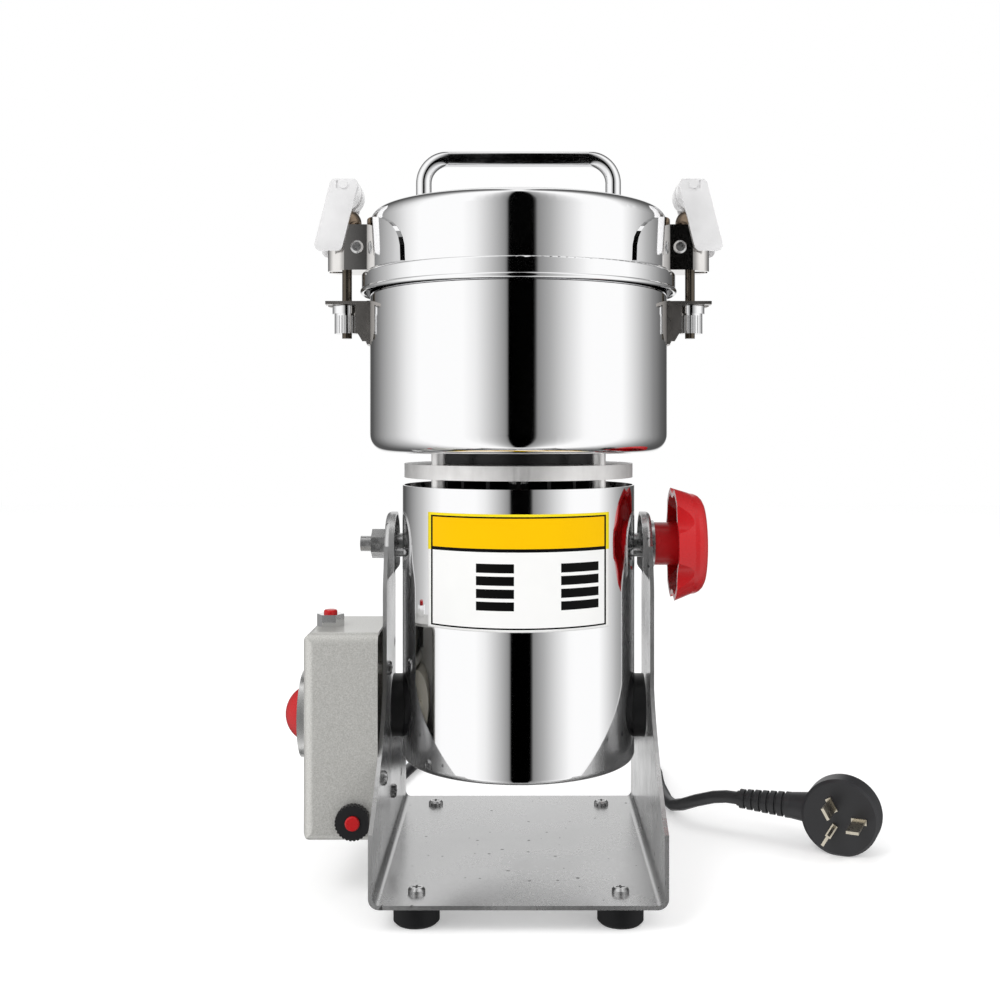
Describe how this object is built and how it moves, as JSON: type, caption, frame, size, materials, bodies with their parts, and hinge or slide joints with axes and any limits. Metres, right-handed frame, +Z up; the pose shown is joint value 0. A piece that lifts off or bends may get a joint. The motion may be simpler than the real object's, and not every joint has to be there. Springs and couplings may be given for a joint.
{
  "type": "electric grain mill",
  "caption": "Tilting high-speed grain mill: mirror steel motor body on a bent sheet frame, clamped lid bowl, cam latches, star clamp knob, side control box and coiled cord.",
  "frame": {"origin": "on the floor under the middle of the mill's outline, without its cord", "axes": "+Z up, -Y toward the front with the label side, +X toward the clamp knob"},
  "size_m": [0.3108, 0.3467, 0.37],
  "materials": {
    "frame_steel": "bent stainless sheet, cold rolled",
    "mirror_steel": "mirror polished stainless sheet",
    "chrome_rod": "polished",
    "screw_steel": "zinc plated",
    "dark_steel": "dark rolled thread",
    "blade_steel": "ground",
    "foot_rubber": "moulded",
    "cord_rubber": "matt",
    "seal_rubber": "moulded",
    "gasket_silicone": "moulded",
    "box_paint": "silver grey hammered paint",
    "dial_metal": "satin",
    "cast_aluminium": "machined",
    "red_plastic": "glossy",
    "black_plastic": "moulded",
    "timer_nylon": "moulded",
    "fan_plastic": "moulded",
    "core_iron": "laminated",
    "coil_copper": "enamelled",
    "holder_brass": "satin",
    "pin_brass": "bright"
  },
  "bodies": {
    "frame": {"base_frame": "frame_steel", "rubber_feet": "foot_rubber", "foot_screws": "screw_steel", "control_box_cover": "box_paint", "control_box_screws": "screw_steel", "timer_body": "timer_nylon", "timer_dial_plate": "dial_metal", "breaker_body": "black_plastic", "breaker_ring_nut": "black_plastic", "switch_body": "dial_metal", "cord_gland": "cord_rubber", "cord_run": "cord_rubber", "cord_coil": "cord_rubber", "cord_tail": "cord_rubber", "cord_tie": "black_plastic", "plug_body": "cord_rubber", "plug_pins": "pin_brass"},
    "timer": {"timer_knob": "red_plastic"},
    "reset": {"reset_button": "red_plastic"},
    "power": {"power_button": "red_plastic"},
    "mill": {"motor_shell": "mirror_steel", "shell_base": "frame_steel", "pivot_bolts": "screw_steel", "pivot_nut": "screw_steel", "pivot_spacers": "black_plastic", "stop_pins": "screw_steel", "brush_caps": "black_plastic", "upper_bracket": "cast_aluminium", "lower_bracket": "cast_aluminium", "stator_core": "core_iron", "field_coils": "coil_copper", "brush_holders": "holder_brass", "bearings": "screw_steel", "coupling_collar": "black_plastic", "bowl": "mirror_steel", "bowl_lugs": "frame_steel", "shaft_seal": "seal_rubber", "lid": "mirror_steel", "lid_gasket": "gasket_silicone", "lid_handle": "chrome_rod", "latch_brackets": "chrome_rod", "bracket_screws": "screw_steel"},
    "rotor": {"rotor_shaft": "screw_steel", "rotor_core": "core_iron", "commutator": "coil_copper", "cooling_fan": "fan_plastic", "lower_blade": "blade_steel", "upper_blades": "blade_steel", "blade_spacers": "blade_steel", "blade_nut": "blade_steel"},
    "clamp_slide": {"clamp_washer": "screw_steel"},
    "clamp": {"clamp_knob": "red_plastic"},
    "swing_left": {"ball_washer_left": "holder_brass"},
    "rod_left": {"pull_rod_left": "dark_steel"},
    "nut_left": {"knurled_nut_left": "chrome_rod"},
    "lever_left": {"lever_left": "chrome_rod"},
    "swing_right": {"ball_washer_right": "holder_brass"},
    "rod_right": {"pull_rod_right": "dark_steel"},
    "nut_right": {"knurled_nut_right": "chrome_rod"},
    "lever_right": {"lever_right": "chrome_rod"}
  },
  "joints": [
    {"name": "body_tilt", "type": "hinge", "parent": "frame", "child": "mill", "pos_m": [0.00664, 0, 0.168], "axis": [1, 0, 0], "range_deg": [0, 100]},
    {"name": "rotor_spin", "type": "hinge", "parent": "mill", "child": "rotor", "pos_m": [0.00664, 0, 0.1], "axis": [0, 0, 1], "continuous": true},
    {"name": "clamp_spin", "type": "hinge", "parent": "clamp_slide", "child": "clamp", "pos_m": [0.08664, 0, 0.168], "axis": [1, 0, 0], "range_deg": [0, 720]},
    {"name": "clamp_travel", "type": "slide", "parent": "mill", "child": "clamp_slide", "axis": [1, 0, 0], "range_m": [0, 0.0025]},
    {"name": "timer_turn", "type": "hinge", "parent": "frame", "child": "timer", "pos_m": [-0.10336, -0.018, 0.085], "axis": [1, 0, 0], "range_deg": [0, 300]},
    {"name": "reset_press", "type": "slide", "parent": "frame", "child": "reset", "axis": [0, 1, 0], "range_m": [0, 0.0015], "stiffness_N_per_m": 300},
    {"name": "power_press", "type": "slide", "parent": "frame", "child": "power", "axis": [0, 0, -1], "range_m": [0, 0.002], "stiffness_N_per_m": 300},
    {"name": "lever_left_open", "type": "hinge", "parent": "rod_left", "child": "lever_left", "pos_m": [-0.08166, 0, 0.3505], "axis": [0, 1, 0], "range_deg": [0, 110]},
    {"name": "latch_left_swing", "type": "hinge", "parent": "mill", "child": "swing_left", "pos_m": [-0.08166, 0, 0.3326], "axis": [0, 1, 0], "range_deg": [0, 25]},
    {"name": "rod_left_slide", "type": "slide", "parent": "swing_left", "child": "rod_left", "axis": [0, 0, -1], "range_m": [0, 0.005]},
    {"name": "nut_left_spin", "type": "hinge", "parent": "rod_left", "child": "nut_left", "pos_m": [-0.08166, 0, 0.284], "axis": [0, 0, 1], "continuous": true},
    {"name": "lever_right_open", "type": "hinge", "parent": "rod_right", "child": "lever_right", "pos_m": [0.09494, 0, 0.3505], "axis": [0, -1, 0], "range_deg": [0, 110]},
    {"name": "latch_right_swing", "type": "hinge", "parent": "mill", "child": "swing_right", "pos_m": [0.09494, 0, 0.3326], "axis": [0, -1, 0], "range_deg": [0, 25]},
    {"name": "rod_right_slide", "type": "slide", "parent": "swing_right", "child": "rod_right", "axis": [0, 0, -1], "range_m": [0, 0.005]},
    {"name": "nut_right_spin", "type": "hinge", "parent": "rod_right", "child": "nut_right", "pos_m": [0.09494, 0, 0.284], "axis": [0, 0, 1], "continuous": true}
  ],
  "couplings": [
    {"joint": "clamp_travel", "follows": "clamp_spin", "m_per_rad": 0.0001989},
    {"joint": "latch_left_swing", "follows": "rod_left_slide", "rad_per_m": 87.266},
    {"joint": "lever_left_open", "follows": "rod_left_slide", "rad_per_m": 383.97},
    {"joint": "latch_right_swing", "follows": "rod_right_slide", "rad_per_m": 87.266},
    {"joint": "lever_right_open", "follows": "rod_right_slide", "rad_per_m": 383.97}
  ]
}
